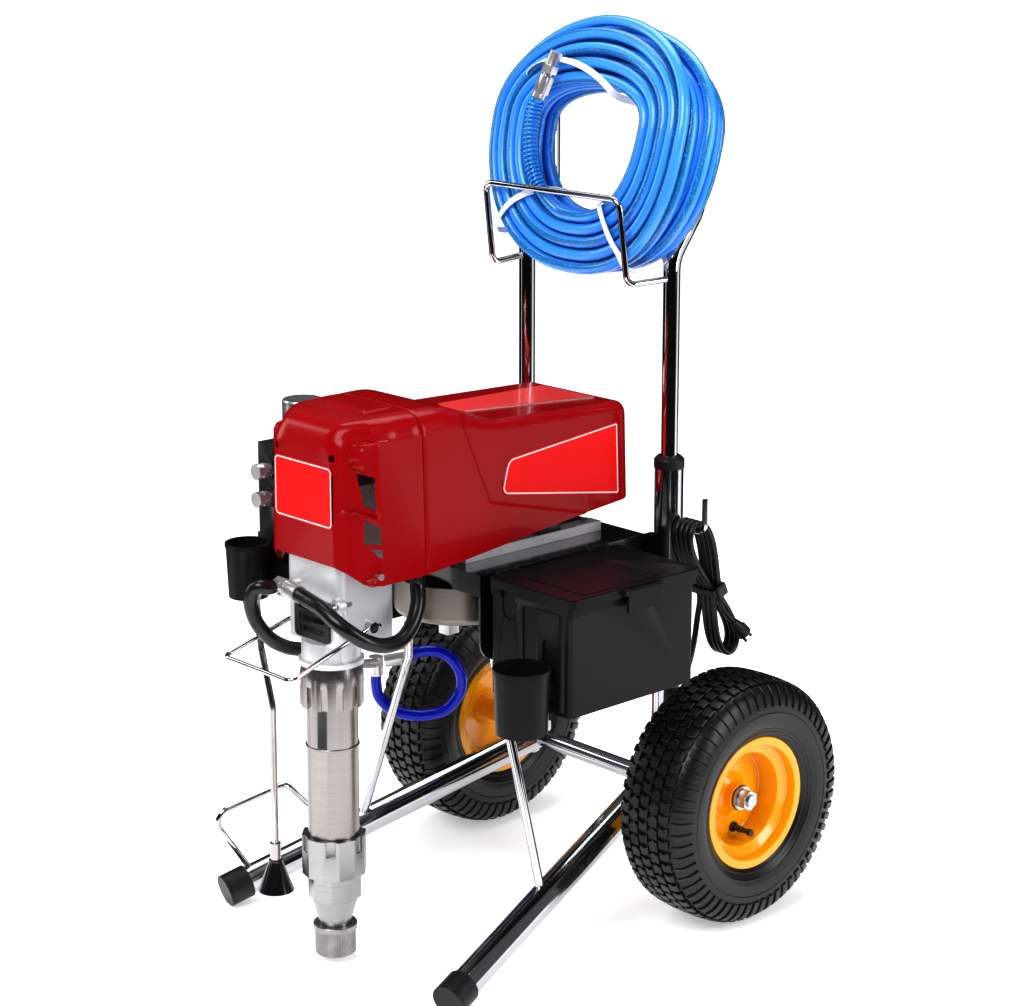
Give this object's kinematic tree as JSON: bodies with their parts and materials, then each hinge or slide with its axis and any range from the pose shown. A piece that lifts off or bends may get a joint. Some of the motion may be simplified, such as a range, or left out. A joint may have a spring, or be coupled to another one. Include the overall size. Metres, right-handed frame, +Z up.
{
  "type": "airless paint sprayer",
  "caption": "Airless paint sprayer with a piston pump, hose coil and tool box on a two-wheel cart with a sliding handle.",
  "frame": {"origin": "on the floor at the middle of the cart's footprint, hose and cord left out", "axes": "+Z up, +Y towards the handle, -Y towards the pump, +X towards the tool box"},
  "size_m": [0.599, 0.756, 1.1703],
  "materials": {
    "frame_steel": "bright zinc plated tube",
    "axle_steel": "zinc plated",
    "chrome_rod": "chrome plated",
    "handle_chrome": "bright chrome plated tube",
    "cap_rubber": "moulded",
    "collar_plastic": "moulded",
    "deck_paint": "black powder coat",
    "pan_nickel": "dull nickel plated",
    "cast_alloy": "pale cast",
    "motor_paint": "black enamel",
    "cover_red": "gloss red moulded",
    "plate_red": "bare printed film",
    "screw_steel": "zinc plated",
    "guard_plastic": "moulded",
    "nut_black": "black oxide",
    "pump_chrome": "hard chrome",
    "pump_steel": "machined",
    "strainer_plastic": "moulded",
    "filter_paint": "black coated casting",
    "filter_steel": "grooved steel",
    "hose_black": "smooth black",
    "hose_blue": "bright blue polyurethane",
    "spring_blue": "blue coated wire",
    "fitting_plate": "bright plated",
    "box_plastic": "moulded black",
    "cord_black": "rubber sheath",
    "tie_white": "translucent white",
    "tie_black": "rubber strap",
    "tyre_rubber": "turf tread",
    "rim_yellow": "gloss yellow moulded",
    "bush_plastic": "nylon bush",
    "valve_brass": "dull brass",
    "copper_steel": "laminated core",
    "gear_steel": "hardened",
    "knob_plastic": "moulded black"
  },
  "bodies": {
    "cart": {"uprights": "frame_steel", "legs": "frame_steel", "axle_tubes": "frame_steel", "axle_bolts": "axle_steel", "leg_caps": "cap_rubber", "sleeve_collars": "collar_plastic", "leg_braces": "chrome_rod", "foot_loop": "chrome_rod", "deck_plate": "deck_paint", "mount_rails": "cast_alloy", "belly_pan": "pan_nickel", "motor_housing": "motor_paint", "drive_housing": "cast_alloy", "front_cover": "cover_red", "motor_shroud": "cover_red", "label_plates": "plate_red", "screws": "screw_steel", "finger_guard": "guard_plastic", "jam_nut": "nut_black", "pump_cylinder": "pump_chrome", "foot_valve": "pump_steel", "intake_strainer": "strainer_plastic", "filter_manifold": "filter_paint", "filter_cap": "filter_steel", "drain_tube": "pump_steel", "drain_cone": "knob_plastic", "pail_hook": "chrome_rod", "black_hoses": "hose_black", "whip_hose": "hose_blue", "hose_fittings": "fitting_plate", "toolbox_body": "box_plastic", "drip_cups": "box_plastic", "cord_hook": "chrome_rod", "cord_gland": "cord_black", "cord_run": "cord_black", "cord_hank": "cord_black", "cord_tie": "tie_black", "power_plug": "cord_black"},
    "handle": {"handle_tube": "handle_chrome", "hose_rack": "handle_chrome", "hose_coil": "hose_blue", "hose_end_fitting": "fitting_plate", "hose_spring_guard": "spring_blue", "hose_ties": "tie_white"},
    "left_wheel": {"left_tyre": "tyre_rubber", "left_rim": "rim_yellow", "left_hub_bushes": "bush_plastic", "left_valve": "valve_brass"},
    "right_wheel": {"right_tyre": "tyre_rubber", "right_rim": "rim_yellow", "right_hub_bushes": "bush_plastic", "right_valve": "valve_brass"},
    "lid": {"toolbox_lid": "box_plastic"},
    "latch": {"lid_latch": "box_plastic"},
    "rotor": {"motor_rotor": "copper_steel"},
    "gear": {"drive_gear": "gear_steel"},
    "pump_rod": {"displacement_rod": "pump_chrome"},
    "knob": {"pressure_knob": "knob_plastic"},
    "valve_lever": {"prime_valve": "knob_plastic"},
    "switch": {"power_switch": "knob_plastic"}
  },
  "joints": [
    {"name": "handle_slide", "type": "slide", "parent": "cart", "child": "handle", "axis": [0, 0, 1], "range_m": [-0.12, 0]},
    {"name": "left_wheel_spin", "type": "hinge", "parent": "cart", "child": "left_wheel", "pos_m": [-0.241, 0.213, 0.165], "axis": [1, 0, 0], "continuous": true},
    {"name": "right_wheel_spin", "type": "hinge", "parent": "cart", "child": "right_wheel", "pos_m": [0.241, 0.213, 0.165], "axis": [1, 0, 0], "continuous": true},
    {"name": "lid_hinge", "type": "hinge", "parent": "cart", "child": "lid", "pos_m": [0.116, 0.0065, 0.5], "axis": [0, -1, 0], "range_deg": [0, 95]},
    {"name": "latch_hinge", "type": "hinge", "parent": "lid", "child": "latch", "pos_m": [0.274, 0.0115, 0.494], "axis": [0, -1, 0], "range_deg": [0, 80]},
    {"name": "rotor_spin", "type": "hinge", "parent": "cart", "child": "rotor", "pos_m": [0, 0, 0.6014], "axis": [0, 1, 0], "continuous": true},
    {"name": "gear_spin", "type": "hinge", "parent": "cart", "child": "gear", "pos_m": [0, -0.23, 0.548], "axis": [0, 1, 0], "continuous": true},
    {"name": "pump_rod_slide", "type": "slide", "parent": "cart", "child": "pump_rod", "axis": [0, 0, 1], "range_m": [-0.012, 0.012]},
    {"name": "pressure_knob_turn", "type": "hinge", "parent": "cart", "child": "knob", "pos_m": [-0.0985, -0.117, 0.61], "axis": [1, 0, 0], "range_deg": [0, 270]},
    {"name": "prime_valve_turn", "type": "hinge", "parent": "cart", "child": "valve_lever", "pos_m": [-0.142, -0.233, 0.6], "axis": [1, 0, 0], "range_deg": [0, 90]},
    {"name": "power_switch_press", "type": "slide", "parent": "cart", "child": "switch", "axis": [0, -1, 0], "range_m": [0, 0.002], "stiffness_N_per_m": 400}
  ],
  "couplings": [
    {"joint": "gear_spin", "follows": "rotor_spin", "ratio": -0.2619}
  ]
}
